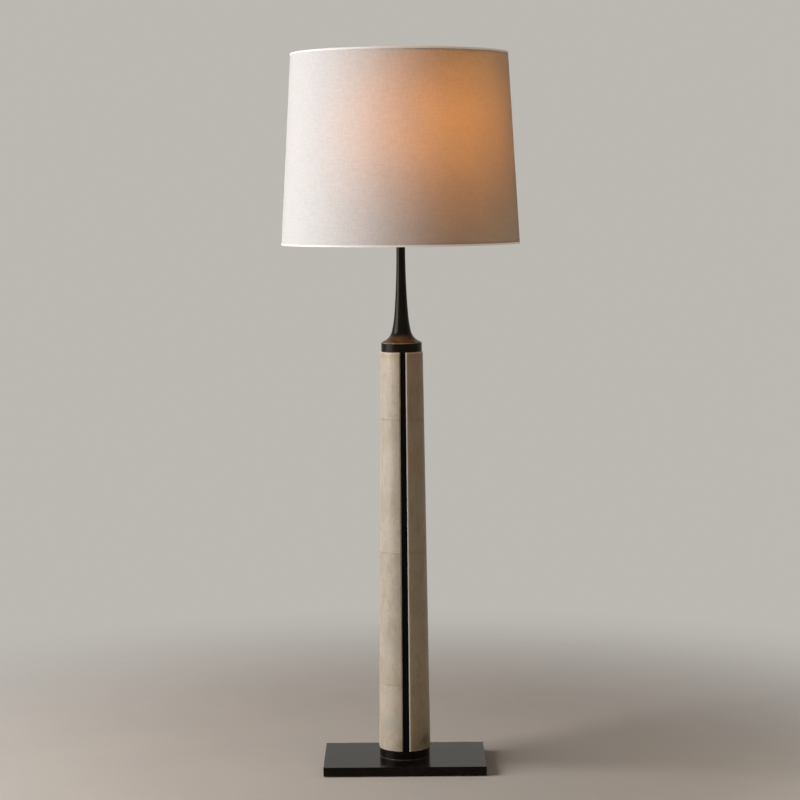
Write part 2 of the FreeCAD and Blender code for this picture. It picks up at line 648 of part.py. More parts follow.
def make_holder_body():
    """The moulded block that carries the contacts and the switch."""
    tall = cell("holder_body_height")
    body = revolved("holder_body", [("0", "0"), (HOLDER_BODY_RADIUS, "0"), (HOLDER_BODY_RADIUS, tall),
                                    ("0", tall)], SHELL_BOTTOM)
    bored(body, "body_switch_hole", "XZ_Plane", ("0", cell("switch_height")),
          f"({cell('shaft_dia')} + 2 * {cell('holder_clearance')})", reverse=True)


def make_contacts():
    """The screw shell, which has a flat foot on the block, and the centre contact inside that foot."""
    wall, tall = cell("screw_shell_wall"), cell("screw_shell_height")
    outer = HOLDER_BODY_RADIUS
    inner = f"({outer} - {wall})"
    hole = half("contact_hole")
    revolved("screw_shell", [(hole, "0"), (outer, "0"), (outer, tall), (inner, tall), (inner, wall),
                             (hole, wall)], HOLDER_BODY_TOP)
    contact = half("contact_dia")
    revolved("centre_contact", [("0", "0"), (contact, "0"), (contact, cell("contact_thick")),
                                ("0", cell("contact_thick"))], HOLDER_BODY_TOP)


def make_switch():
    """The switch shaft, level and towards the front, and the knob pressed on it."""
    inside = f"({HOLDER_BODY_RADIUS} - {cell('shaft_depth')})"
    knob_start = f"({SHELL_RADIUS} + {cell('knob_gap')})"
    shaft_end = f"({knob_start} + {cell('knob_bore_depth')})"
    shaft = doc.addObject("Part::Cylinder", "Switch_shaft")
    shaft.setExpression("Radius", half("shaft_dia"))
    shaft.setExpression("Height", f"{shaft_end} - {inside}")
    knob = doc.addObject("Part::Cylinder", "Knob_solid")
    knob.setExpression("Radius", half("knob_dia"))
    knob.setExpression("Height", cell("knob_length"))
    for piece, start in ((shaft, inside), (knob, knob_start)):
        piece.Placement = FreeCAD.Placement(V(0, 0, 0), FreeCAD.Rotation(V(1, 0, 0), 90))
        piece.setExpression("Placement.Base.y", f"-{start}")
        piece.setExpression("Placement.Base.z", SWITCH_HEIGHT)
    node(shaft, "switch_shaft")
    doc.recompute()
    edge = doc.addObject("Part::Fillet", "Knob_rounded")
    edge.Base = knob
    rings = [i for i, side in enumerate(knob.Shape.Edges, start=1)
             if side.Curve.TypeId == "Part::GeomCircle" and side.CenterOfMass.y < -size(knob_start) - NEAR]
    edge.Edges = [(i, size(cell("knob_edge")), size(cell("knob_edge"))) for i in rings]
    cut = node(doc.addObject("Part::Cut", "Knob"), "switch_knob")
    cut.Base = edge
    cut.Tool = knob_bore(knob_start)


def knob_bore(start):
    """The blind hole in the knob, as large as the shaft and its fit."""
    bore = doc.addObject("Part::Cylinder", "Knob_bore")
    bore.setExpression("Radius", f"{half('shaft_dia')} + {cell('thread_clearance')} / 2")
    bore.setExpression("Height", cell("knob_bore_depth"))
    bore.Placement = FreeCAD.Placement(V(0, 0, 0), FreeCAD.Rotation(V(1, 0, 0), 90))
    bore.setExpression("Placement.Base.y", f"-{start}")
    bore.setExpression("Placement.Base.z", SWITCH_HEIGHT)
    return bore


def make_bulb():
    """The screw base, the glass envelope, and the stem and filament inside it."""
    base, tip = half("bulb_base_dia"), half("bulb_tip_dia")
    revolved("bulb_base", [("0", "0"), (tip, "0"), (tip, cell("bulb_tip_height")),
                           (base, cell("bulb_base_taper")), (base, cell("bulb_base_height")),
                           ("0", cell("bulb_base_height"))], BULB_BOTTOM)
    body = revolved("bulb_glass", glass_outline("0", "0"), GLASS_BOTTOM)
    hollow = outline(body, "glass_hollow", "XZ_Plane", glass_outline(cell("glass_wall"), "0"))
    groove = body.newObject("PartDesign::Groove", "glass_hollowed")
    groove.Profile = hollow
    groove.ReferenceAxis = (hollow, ["V_Axis"])
    groove.Angle = 360
    stem, top, tall = half("stem_dia"), half("stem_top_dia"), cell("stem_height")
    corners = [("0", "0"), (stem, "0"), (top, cell("stem_foot_height")), (top, tall), ("0", tall)]
    revolved("bulb_stem", corners, GLASS_BOTTOM)
    wire = size(cell("filament_wire_dia"))
    wide, rise = size(cell("filament_half_width")), size(cell("filament_height"))
    lead = size(cell("filament_lead"))
    foot = size(half("stem_top_dia")) + wire / 2
    points = [V(-foot, 0, 0), V(-foot, 0, lead), V(-wide, 0, rise), V(wide, 0, rise), V(foot, 0, lead),
              V(foot, 0, 0)]
    shaped("bulb_filament", wire_solid(points, wire), f"{GLASS_BOTTOM} + {tall} - {cell('filament_lead')}")


def glass_outline(wall, foot):
    """Half section of the envelope, shrunk by a wall: a dome, a smooth shoulder and a short straight neck."""
    dome = f"({half('glass_dia')} - {wall})"
    neck = f"({half('glass_neck_dia')} - {wall})"
    top = f"({cell('glass_height')} - {wall})"
    centre = f"({cell('glass_height')} - {half('glass_dia')})"
    return [("0", foot), (neck, foot), (neck, cell("glass_neck_height")),
            (f"({dome} * cos(30))", f"({centre} - {dome} * sin(30))", "tangent"),
            (dome, centre, dome, 1), ("0", top, dome, 1)]


# ---------------------------------------------------------------- shade and finial

def shade_skin(label, radius_at, wall, low, high):
    """A thin tapered tube between two heights above the shade's bottom edge."""
    corners = [(f"({radius_at(low)} - {wall})", low), (radius_at(low), low), (radius_at(high), high),
               (f"({radius_at(high)} - {wall})", high)]
    revolved(label, corners, SHADE_BOTTOM)


def make_skins():
    """The linen and the stiff liner behind it, held back at both edges by the thickness of the hem."""
    low, high = cell("hem_thick"), f"({cell('shade_height')} - {cell('hem_thick')})"
    shade_skin("shade_linen", shade_radius, cell("linen_thick"), low, high)
    shade_skin("shade_liner", liner_radius, cell("liner_thick"), low, high)


def make_hem(label, edge, inward):
    """A strip of linen folded over one edge of the shade: inward is -1 at the top and 1 at the bottom."""
    film, thick = cell("shade_film"), cell("hem_thick")
    turned = f"({edge} + {inward} * {thick})"
    reach = f"({edge} + {inward} * {cell('hem_height')})"
    corners = [(f"({shade_radius(edge)} + {film} + {thick})", edge),
               (f"({shade_radius(reach)} + {film} + {thick})", reach),
               (f"({shade_radius(reach)} + {film})", reach), (f"({shade_radius(turned)} + {film})", turned),
               (f"({shade_inside(turned)} - {film})", turned), (f"({shade_inside(reach)} - {film})", reach),
               (f"({shade_inside(reach)} - {film} - {thick})", reach),
               (f"({shade_inside(edge)} - {film} - {thick})", edge)]
    revolved(label, corners, SHADE_BOTTOM)


def ring_height_in_shade(top):
    """Height of a frame ring's centre above the shade's bottom edge, clear of the hem beside it."""
    clear = f"({cell('hem_height')} + {cell('frame_gap')} + {half('frame_wire_dia')})"
    return f"({cell('shade_height')} - {clear})" if top else clear


def make_bottom_wire():
    """The round wire ring that holds the shade open at the bottom."""
    level = ring_height_in_shade(False)
    ring = node(doc.addObject("Part::Torus", "Bottom_wire"), "shade_bottom_wire")
    ring.setExpression("Radius1", frame_ring_radius(level))
    ring.setExpression("Radius2", half("frame_wire_dia"))
    place(ring, f"{SHADE_BOTTOM} + {level}")


def make_spider():
    """The shade carrier: a seat washer, three bent spokes and the top wire ring, welded together.

    Heights are above the harp's seat, where the washer's underside lies.
    """
    level = ring_height_in_shade(True)
    rise = size(f"{SHADE_BOTTOM} + {level} - {HARP_SEAT}")
    ring_radius = size(frame_ring_radius(level))
    wire = size(cell("spider_wire_dia"))
    thick = size(cell("spider_washer_thick"))
    washer = Part.makeCylinder(size(half("spider_washer_dia")), thick)
    frame = washer.fuse(Part.makeTorus(ring_radius, size(half("frame_wire_dia")), V(0, 0, rise)))
    flush = wire / 2
    start = size(half("spider_washer_dia")) - wire
    bend = ring_radius - size(cell("spider_bend_inset"))
    spoke = wire_solid([V(start, 0, flush), V(bend, 0, flush), V(ring_radius, 0, rise)], wire)
    for step in range(SPOKES):
        arm = spoke.copy()
        arm.rotate(V(0, 0, 0), V(0, 0, 1), 360 / SPOKES * step + QUARTER)
        frame = frame.fuse(arm)
    hole = size(f"{half('stud_dia')} + {cell('rod_clearance')}")
    shaped("shade_spider", frame.cut(Part.makeCylinder(hole, 2 * thick, V(0, 0, -thick / 2))), HARP_SEAT)


def make_finial():
    """The turned knob that screws down on the shade's seat washer: a foot, a waist and a domed head."""
    bore = f"({half('stud_dia')} + {cell('thread_clearance')})"
    foot, waist, head = half("finial_foot_dia"), half("finial_waist_dia"), half("finial_head_dia")
    foot_top, tall = cell("finial_foot_height"), cell("finial_height")
    neck_low, neck_high = cell("finial_waist_low"), cell("finial_waist_high")
    dome_low = f"({tall} - {head})"
    flare = f"({dome_low} - {neck_high})"
    corners = [(bore, "0"), (foot, "0"), (foot, foot_top), (waist, neck_low), (waist, neck_high),
               (head, dome_low, flare, 1), ("0", tall, head, 1), ("0", cell("finial_bore_depth")),
               (bore, cell("finial_bore_depth"))]
    revolved("finial", corners, f"{HARP_SEAT} + {cell('spider_washer_thick')}")


# ---------------------------------------------------------------- the lamp

def build():
    make_pads()
    make_plate()
    revolved("base_washer", tube_corners(half("base_washer_dia"), ROD_HOLE, cell("base_washer_thick")),
             BASE_NUT_TOP)
    hex_nut("base_nut", "base_nut_flats", "base_nut_thick", BASE_NUT_BOTTOM)
    make_rod()
    make_bottom_ring()
    make_bushing()
    make_core()
    make_strips()
    for row in range(len(SHEET_ROWS)):
        for quarter, name in enumerate(QUARTER_NAMES):
            make_sheet(row, quarter, name)
    make_top_ring()
    make_neck()
    hex_nut("neck_nut", "neck_nut_flats", "neck_nut_thick", NECK_TOP)
    make_saddle()
    make_harp()
    make_stud()
    make_sleeves()
    make_holder_cap()
    make_holder_shells()
    make_holder_body()
    make_contacts()
    make_switch()
    make_bulb()
    make_skins()
    make_hem("top_hem", cell("shade_height"), -1)
    make_hem("bottom_hem", "0", 1)
    make_bottom_wire()
    make_spider()
    make_finial()
    doc.recompute()


def check():
    """Stops where an object failed or a node has no sound solid."""
    for piece in doc.Objects:
        if "Invalid" in piece.State or "Error" in piece.State:
            raise RuntimeError(f"{piece.Name} failed: {piece.State}")
    for piece in NODES:
        if piece.Shape.isNull() or not piece.Shape.isValid() or not piece.Shape.Solids:
            raise RuntimeError(f"{piece.Label} has no sound solid")


def write():
    os.makedirs("parts", exist_ok=True)
    for piece in NODES:
        piece.Shape.exportStep(os.path.join("parts", f"{piece.Label}.step"))
    print(len(NODES), "nodes,", sum(len(piece.Shape.Solids) for piece in NODES), "solids")


build()
check()
write()
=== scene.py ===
import math

import bmesh
import bpy
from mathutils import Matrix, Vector


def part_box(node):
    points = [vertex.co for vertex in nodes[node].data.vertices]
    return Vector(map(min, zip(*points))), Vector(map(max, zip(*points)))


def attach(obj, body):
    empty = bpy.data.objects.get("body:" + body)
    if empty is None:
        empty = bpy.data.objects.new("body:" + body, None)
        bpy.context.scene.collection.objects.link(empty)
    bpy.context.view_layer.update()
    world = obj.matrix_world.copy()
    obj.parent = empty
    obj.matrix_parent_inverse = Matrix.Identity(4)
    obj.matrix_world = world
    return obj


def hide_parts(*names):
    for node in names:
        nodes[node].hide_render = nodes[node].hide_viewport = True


# The finish of a column floor lamp: linen shade lit from inside, blackened metal, and a column in parchment.
# Metres. +Z is up, and -Y is the front.

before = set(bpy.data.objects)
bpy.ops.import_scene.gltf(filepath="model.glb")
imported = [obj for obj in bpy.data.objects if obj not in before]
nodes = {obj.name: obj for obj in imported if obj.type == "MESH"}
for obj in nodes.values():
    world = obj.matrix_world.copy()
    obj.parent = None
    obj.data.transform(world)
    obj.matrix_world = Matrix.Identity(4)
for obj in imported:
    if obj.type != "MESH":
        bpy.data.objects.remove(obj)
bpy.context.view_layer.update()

# ---------------------------------------------------------------- places taken from the frame

SHADE_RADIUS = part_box("shade_linen")[1].x
COLUMN_LOW, COLUMN_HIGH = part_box("column_core")
END_SLACK = 0.001  # a sheet that stops this near the column's end is an end sheet
BULB_LOW, BULB_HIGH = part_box("bulb_glass")
BULB_CENTRE = Vector((0, 0, BULB_HIGH.z - BULB_HIGH.x))
COLUMN_TURN = math.radians(3.3)  # how far the column is turned on its base

QUARTERS = ("front_right", "back_right", "back_left", "front_left")
ROWS = (1, 2, 3, 4)
# how brown each sheet is, from the bottom row up
WARMTH = {"front_right": (0.85, 0.75, 0.65, 0.85), "back_right": (0.60, 0.35, 0.50, 0.30),
          "back_left": (0.20, 0.45, 0.15, 0.35), "front_left": (0.10, 0.12, 0.05, 0.14)}
STRIPS = ("front", "right", "back", "left")


# ---------------------------------------------------------------- node helpers

class Shader:
    """A new material, with short ways to add nodes to it. Lengths are in metres, in the lamp's own frame."""

    def __init__(self, name):
        self.material = bpy.data.materials.new(name)
        self.material.use_nodes = True
        self.tree = self.material.node_tree
        self.tree.nodes.clear()
        self.place = self.add("ShaderNodeTexCoord").outputs["Object"]

    def add(self, kind, inputs=None, **settings):
        node = self.tree.nodes.new(kind)
        for name, value in settings.items():
            setattr(node, name, value)
        for name, value in (inputs or {}).items():
            if isinstance(value, bpy.types.NodeSocket):
                self.tree.links.new(value, node.inputs[name])
            else:
                node.inputs[name].default_value = value
        return node

    def math(self, operation, first, second=0.0):
        return self.add("ShaderNodeMath", {0: first, 1: second}, operation=operation).outputs[0]

    def parts(self, vector):
        return self.add("ShaderNodeSeparateXYZ", {0: vector}).outputs

    def vector(self, x=0.0, y=0.0, z=0.0):
        return self.add("ShaderNodeCombineXYZ", {0: x, 1: y, 2: z}).outputs[0]

    def stretched(self, vector, by, shift=(0, 0, 0)):
        return self.add("ShaderNodeMapping", {"Vector": vector, "Scale": by, "Location": shift}).outputs[0]

    def noise(self, vector, grain, detail=2.0, roughness=0.5, distortion=0.0):
        """Noise from 0 to 1 whose blotches are about a grain across."""
        return self.add("ShaderNodeTexNoise", {
            "Vector": vector, "Scale": 1 / grain, "Detail": detail, "Roughness": roughness,
            "Distortion": distortion}).outputs[0]

    def spots(self, vector, grain):
        """Distance from the nearest of scattered points that are about a grain apart."""
        return self.add("ShaderNodeTexVoronoi", {"Vector": vector, "Scale": 1 / grain}).outputs["Distance"]

    def rise(self, value, start, end, low=0.0, high=1.0):
        """A smooth step from low to high as value goes from start to end."""
        return self.add("ShaderNodeMapRange", {
            "Value": value, "From Min": start, "From Max": end, "To Min": low, "To Max": high},
            interpolation_type="SMOOTHSTEP").outputs[0]

    def mix(self, share, first, second, blend="MIX"):
        """A colour between first and second."""
        return self.add("ShaderNodeMix", {0: share, 6: opaque(first), 7: opaque(second)},
                        data_type="RGBA", blend_type=blend).outputs[2]

    def bump(self, height, depth, below=None):
        """A normal for a relief that is depth deep where height goes from 0 to 1."""
        inputs = {"Height": height, "Distance": depth}
        if below is not None:
            inputs["Normal"] = below
        return self.add("ShaderNodeBump", inputs).outputs[0]

    def principled(self, colour, roughness, **inputs):
        named = {name.replace("_", " "): value for name, value in inputs.items()}
        return self.add("ShaderNodeBsdfPrincipled", {
            "Base Color": opaque(colour), "Roughness": roughness, **named}).outputs[0]

    def shows(self, shader, sampled="AUTO"):
        """Ends the material. sampled="NONE" keeps a faint glow from being searched for as a lamp."""
        self.add("ShaderNodeOutputMaterial", {"Surface": shader})
        self.material.cycles.emission_sampling = sampled
        return self.material


def opaque(colour):
    """A colour as a socket takes it: a socket stays, and three numbers get an alpha of 1."""
    return colour if isinstance(colour, bpy.types.NodeSocket) else (*colour[:3], 1.0)


def add_object(name, data):
    """A new object in the scene."""
    made = bpy.data.objects.new(name, data)
    bpy.context.scene.collection.objects.link(made)
    return made


def add_mesh(name, shape, *materials):
    """A new object in the scene from a bmesh, which is used up."""
    mesh = bpy.data.meshes.new(name)
    shape.to_mesh(mesh)
    shape.free()
    for material in materials:
        mesh.materials.append(material)
    return add_object(name, mesh)


def finish(material, *names):
    """Gives CAD nodes a material."""
    for name in names:
        nodes[name].data.materials.clear()
        nodes[name].data.materials.append(material)


# ---------------------------------------------------------------- metal

BLACK_BRONZE = (0.0045, 0.0034, 0.0026)
BROWN_BRONZE = (0.014, 0.0085, 0.0055)
# worn metal at the rings' edges, also standing in as a painted glint of their rounding
WORN_GLINT_BRONZE = (0.42, 0.33, 0.25)
# a painted warm reflection of the lit shade, for the neck's flared foot
PAINTED_GLOW_REFLECTION = (0.125, 0.068, 0.036)
BRONZE_SHINE = (1.0, 0.86, 0.72)
PAINTED_REFLECTION_FADE = 0.012  # height over which the painted warm reflection gives way to black
WORN_GLINT_WIDTH = (0.0008, 0.0020)  # a worn edge, with a painted glint on it, takes the pale colour fully up to the first, and black from the second on


def blackened_metal(name, turned, gloss, shine, mottled=1.0, worn_glint_at=(), painted_reflection_below=None):
    """Blackened, waxed bronze. Turned pieces show fine lathe rings, and flat ones a fine brushed grain.

    gloss is the roughness where it is smoothest, shine its specular level, mottled how much brown shows. The
    black has worn off at the edge heights given, with a painted glint laid on that band, and below the flange
    height given the colour is a painted warm reflection of the lit shade.
    """
    s = Shader(name)
    height = s.parts(s.place)[2]
    if turned:
        lines = s.noise(s.vector(z=height), 0.0022, detail=3)
    else:
        lines = s.noise(s.stretched(s.place, (0.03, 1, 1)), 0.0012, detail=3)
    cloud = s.noise(s.place, 0.035, detail=5, roughness=0.6, distortion=0.6)
    wipe = s.noise(s.place, 0.006, detail=3)
    colour = s.mix(s.rise(cloud, 0.45, 0.75, 0.0, mottled), BLACK_BRONZE, BROWN_BRONZE)
    colour = s.mix(s.rise(lines, 0.45, 0.70, 0.0, 0.35 * mottled), colour, BROWN_BRONZE)
    # painted reflection: below the flange's top the colour turns warm, standing in for the lit shade
    # reflected there
    if painted_reflection_below is not None:
        rubbed = s.math("MULTIPLY", s.rise(height, painted_reflection_below - PAINTED_REFLECTION_FADE, painted_reflection_below, 1.0, 0.0),
                        s.rise(cloud, 0.35, 0.65, 0.6, 1.0))
        colour = s.mix(rubbed, colour, PAINTED_GLOW_REFLECTION)
    # edges where the black has worn off, painted paler also as a painted glint of their rounding
    for edge in worn_glint_at:
        away = s.math("ABSOLUTE", s.math("SUBTRACT", height, edge))
        worn_glint_mask, uneven = s.rise(away, *WORN_GLINT_WIDTH, 1.0, 0.0), s.rise(wipe, 0.30, 0.60, 0.35, 0.9)
        colour = s.mix(s.math("MULTIPLY", worn_glint_mask, uneven), colour, WORN_GLINT_BRONZE)
    rough = s.math("ADD", s.rise(cloud, 0.3, 0.7, gloss, gloss + 0.06), s.rise(wipe, 0.35, 0.65, 0.0, 0.04))
    relief = s.bump(lines, 0.00002, s.bump(wipe, 0.00002))
    return s.shows(s.principled(colour, rough, Specular_IOR_Level=shine, Specular_Tint=opaque(BRONZE_SHINE),
                                Normal=relief))


def strip_finish():
    """Deep satin black, drawn along the strip."""
    s = Shader("strip_black")
    grain = s.noise(s.stretched(s.place, (1, 1, 0.04)), 0.0012, detail=3)
    colour = s.mix(s.rise(grain, 0.3, 0.7), (0.0015, 0.0014, 0.0012), (0.004, 0.0036, 0.0030))
    return s.shows(s.principled(colour, s.rise(grain, 0.3, 0.7, 0.38, 0.5), Specular_IOR_Level=0.06,
                                Normal=s.bump(grain, 0.00005)))


def plain_metal(name, colour, roughness, drawn=(1, 1, 0.05), grain=0.0008):
    """Bare or plated metal with a drawn or turned grain, long along the direction that is squeezed."""
    s = Shader(name)
    lines = s.noise(s.stretched(s.place, drawn), grain, detail=3)
    tarnish = s.noise(s.place, 0.012, detail=4, roughness=0.6)
    darker = tuple(0.72 * part for part in colour)
    tone = s.mix(s.rise(tarnish, 0.35, 0.7), colour, darker)
    shine = s.math("ADD", s.rise(tarnish, 0.3, 0.7, roughness, roughness + 0.12),
                   s.rise(lines, 0.3, 0.7, 0.0, 0.05))
    return s.shows(s.principled(tone, shine, Metallic=1.0, Normal=s.bump(lines, 0.00003)))


def harp_finish():
    """Oil-rubbed bronze: dark, with copper showing where it is handled."""
    s = Shader("harp_bronze")
    wear = s.noise(s.place, 0.009, detail=4, roughness=0.65)
    colour = s.mix(s.rise(wear, 0.5, 0.72), (0.060, 0.040, 0.027), (0.20, 0.115, 0.065))
    return s.shows(s.principled(colour, s.rise(wear, 0.3, 0.7, 0.42, 0.30), Metallic=0.8,
                                Normal=s.bump(s.noise(s.place, 0.001), 0.00003)))


# ---------------------------------------------------------------- moulded and pressed pieces

def moulded(name, colour, roughness, grain=0.0006, depth=0.00003):
    s = Shader(name)
    texture = s.noise(s.place, grain, detail=2)
    cloud = s.noise(s.place, 0.01, detail=3)
    lighter = tuple(1.25 * part for part in colour)
    tone = s.mix(s.rise(cloud, 0.35, 0.65), colour, lighter)
    return s.shows(s.principled(tone, s.rise(cloud, 0.3, 0.7, roughness, roughness + 0.08),
                                Normal=s.bump(texture, depth)))


def card_finish():
    s = Shader("holder_card")
    fibre = s.noise(s.stretched(s.place, (1, 1, 0.3)), 0.0009, detail=4)
    colour = s.mix(s.rise(fibre, 0.3, 0.7), (0.50, 0.38, 0.24), (0.66, 0.55, 0.38))
    return s.shows(s.principled(colour, 0.85, Normal=s.bump(fibre, 0.00006)))


def wood_finish():
    """Turned pale wood, its grain running up the column."""
    s = Shader("core_wood")
    grain = s.noise(s.stretched(s.place, (1, 1, 0.03)), 0.003, detail=5, roughness=0.6, distortion=0.4)
    rings = s.noise(s.vector(z=s.parts(s.place)[2]), 0.0012)
    colour = s.mix(s.rise(grain, 0.35, 0.65), (0.36, 0.22, 0.11), (0.62, 0.45, 0.27))
    return s.shows(s.principled(colour, s.rise(grain, 0.3, 0.7, 0.5, 0.65),
                                Normal=s.bump(rings, 0.0001, s.bump(grain, 0.0001))))


# ---------------------------------------------------------------- parchment

CREAM = (0.573, 0.490, 0.394)
BISCUIT = (0.414, 0.316, 0.207)
OLIVE = (0.345, 0.290, 0.182)
STAIN = (0.36, 0.26, 0.155)
GREY = (0.390, 0.368, 0.307)
PALE_EDGE = (0.615, 0.572, 0.504)
OCHRE = (0.422, 0.286, 0.143)
MOSS = (0.105, 0.095, 0.050)
STRIP_EDGE = math.radians(7.6)  # from a strip's middle to the sheet beside it

# where, how large, which colour and how strong, for the stains that single sheets carry
BLOTS = {
    "sheet_front_left_1": (((-0.011, -0.057, 0.056), 0.020, STAIN, 0.75),
                           ((-0.030, -0.050, 0.110), 0.030, GREY, 0.5)),
    "sheet_front_right_1": (((0.047, -0.034, 0.062), 0.026, MOSS, 0.80),
                            ((0.020, -0.054, 0.100), 0.022, OCHRE, 0.35)),
    "sheet_front_left_2": (((-0.035, -0.042, 0.290), 0.045, GREY, 0.25),),
    "sheet_front_right_3": (((0.030, -0.042, 0.700), 0.050, OCHRE, 0.35),),
}


def parchment(name, seed, warmth):
    """Natural parchment under a satin lacquer: cloudy, flecked with pores, veined, and paler along its edges.

    warmth goes from 0, creamy, to 1, brown and olive.
    """
    s = Shader(name.replace("sheet", "parchment"))
    skin = s.stretched(s.place, (1, 1, 1), (seed * 1.7, seed * -2.3, seed * 3.1))
    cloud = s.noise(skin, 0.075, detail=3, roughness=0.55, distortion=0.5)
    patch = s.noise(s.stretched(skin, (1, 1, 0.6)), 0.024, detail=6, roughness=0.64, distortion=0.8)
    fleck = s.noise(skin, 0.0032, detail=3, roughness=0.7)
    hatch = s.noise(s.stretched(skin, (0.25, 0.25, 1)), 0.0026, detail=3, roughness=0.6)
    streak = s.noise(s.stretched(skin, (1, 1, 0.10)), 0.0075, detail=4, roughness=0.62, distortion=0.3)
    pores = s.spots(s.stretched(skin, (1, 1, 0.7)), 0.0024)
    vein = s.math("ABSOLUTE", s.math("SUBTRACT", s.noise(skin, 0.05, detail=4, distortion=1.2), 0.5))

    base = s.mix(warmth, CREAM, BISCUIT)
    colour = s.mix(s.rise(cloud, 0.40, 0.68, 0.0, 0.30 + 0.35 * warmth), base, OLIVE)
    colour = s.mix(s.rise(patch, 0.48, 0.70, 0.0, 0.42 + 0.35 * warmth), colour, STAIN)
    colour = s.mix(s.rise(streak, 0.46, 0.68, 0.0, 0.22 + 0.28 * warmth), colour, STAIN)
    colour = s.mix(s.rise(patch, 0.46, 0.30, 0.0, 0.30), colour, GREY)
    colour = s.mix(s.rise(vein, 0.0, 0.018, 0.16, 0.0), colour, CREAM)
    colour = s.mix(s.rise(hatch, 0.46, 0.68, 0.0, 0.34), colour, GREY)
    colour = s.mix(s.rise(fleck, 0.50, 0.68, 0.0, 0.42), colour, STAIN)
    colour = s.mix(s.rise(pores, 0.0, 0.28, 0.30, 0.0), colour, STAIN)

    ragged = s.math("MULTIPLY", s.math("SUBTRACT", patch, 0.5), 0.05)
    for place, reach, tone, strength in BLOTS.get(name, ()):
        away = s.add("ShaderNodeVectorMath", {0: s.place, 1: place}, operation="DISTANCE").outputs["Value"]
        colour = s.mix(s.rise(s.math("ADD", away, ragged), 0.2 * reach, reach, strength, 0.0), colour, tone)

    x, y, z = s.parts(s.place)
    low, high = (corner.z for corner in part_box(name))
    if high > COLUMN_HIGH.z - END_SLACK:
        below_top = s.math("SUBTRACT", high, s.math("ADD", z, s.math("MULTIPLY", ragged, 0.4)))
        colour = s.mix(s.rise(below_top, 0.006, 0.022, 0.45, 0.0), colour, OCHRE)
    for end, inner in ((low, low > COLUMN_LOW.z + END_SLACK), (high, high < COLUMN_HIGH.z - END_SLACK)):
        from_end = s.math("ABSOLUTE", s.math("SUBTRACT", z, end))
        if inner:
            colour = s.mix(s.rise(from_end, 0.0003, 0.0016, 0.42, 0.0), colour, STAIN)
        else:
            colour = s.mix(s.rise(from_end, 0.0020, 0.0042, 0.75, 0.0), colour, PALE_EDGE)
    turned = s.math("SUBTRACT", s.math("ARCTAN2", y, x), COLUMN_TURN)
    from_strip = s.math("PINGPONG", turned, math.pi / 4)
    edge = s.rise(from_strip, STRIP_EDGE, STRIP_EDGE + math.radians(3.8), 0.80, 0.0)
    colour = s.mix(edge, colour, PALE_EDGE)

    relief = s.bump(pores, 0.00005, s.bump(hatch, 0.00008, s.bump(patch, 0.0004)))
    shine = s.rise(patch, 0.3, 0.7, 0.42, 0.56)
    return s.shows(s.principled(colour, shine, Specular_IOR_Level=0.4, Coat_Weight=0.15, Coat_Roughness=0.35,
                                Normal=relief))


# ---------------------------------------------------------------- linen shade

LINEN = (0.90, 0.91, 0.92)
LINEN_SHADOW = (0.83, 0.825, 0.81)
WARM = (1.0, 0.72, 0.27)
TAPE = (0.80, 0.785, 0.76)
TAPE_GLOW = (1.0, 0.74, 0.52)
THREAD, SLUB = 0.0014, 0.0040


def threads(s, radius):
    """Two sets of uneven threads on a cylinder, and the slubs among them."""
    x, y, z = s.parts(s.place)
    across = s.math("MULTIPLY", s.math("ARCTAN2", x, s.math("MULTIPLY", y, -1.0)), radius)
    flat = s.vector(across, z)
    upright = s.noise(s.stretched(flat, (1, 0.10, 1)), THREAD, detail=2)
    level = s.noise(s.stretched(flat, (0.10, 1, 1)), THREAD, detail=2)
    slub_up = s.noise(s.stretched(flat, (1, 0.22, 1)), SLUB, detail=2, roughness=0.6)
    slub_level = s.noise(s.stretched(flat, (0.18, 1, 1)), SLUB, detail=2, roughness=0.6)
    weave = s.math("MULTIPLY", s.math("ADD", upright, level), 0.5)
    slubs = s.math("MULTIPLY", s.math("ADD", slub_up, slub_level), 0.5)
    return weave, slubs


def linen(name, through):
    """Plain-weave linen that lets part of the light through."""
    s = Shader(name)
    weave, slubs = threads(s, SHADE_RADIUS)
    colour = s.mix(s.rise(slubs, 0.38, 0.64), LINEN, LINEN_SHADOW)
    colour = s.mix(s.rise(weave, 0.40, 0.60, 0.0, 0.40), colour, LINEN_SHADOW)
    relief = s.bump(weave, 0.00025, s.bump(slubs, 0.0003))
    cloth = s.principled(colour, 0.85, Specular_IOR_Level=0.15, Sheen_Weight=0.25, Sheen_Roughness=0.5,
                         Normal=relief)
    warmed = s.mix(1.0, colour, WARM, blend="MULTIPLY")
    glow = s.add("ShaderNodeBsdfTranslucent", {"Color": warmed, "Normal": relief}).outputs[0]
    return s.shows(s.add("ShaderNodeMixShader", {0: through, 1: cloth, 2: glow}).outputs[0])


def tape_finish():
    """The folded linen tape of the trims, with a faint glow in place of the light that comes through it."""
    s = Shader("hem_linen")
    weave, slubs = threads(s, SHADE_RADIUS)
    colour = s.mix(s.rise(slubs, 0.40, 0.65), TAPE, LINEN_SHADOW)
    relief = s.bump(weave, 0.0002)
    return s.shows(s.principled(colour, 0.85, Specular_IOR_Level=0.15, Sheen_Weight=0.2, Normal=relief,
                                Emission_Color=opaque(TAPE_GLOW), Emission_Strength=0.30), sampled="NONE")


def liner_finish(through):
    """Smooth white styrene, faintly clouded."""
    s = Shader("liner_white")
    cloud = s.noise(s.place, 0.03, detail=3)
    colour = s.mix(s.rise(cloud, 0.3, 0.7), (0.86, 0.84, 0.80), (0.92, 0.90, 0.87))
    face = s.principled(colour, s.rise(cloud, 0.3, 0.7, 0.38, 0.48))
    glow = s.add("ShaderNodeBsdfTranslucent", {"Color": colour}).outputs[0]
    return s.shows(s.add("ShaderNodeMixShader", {0: through, 1: face, 2: glow}).outputs[0])


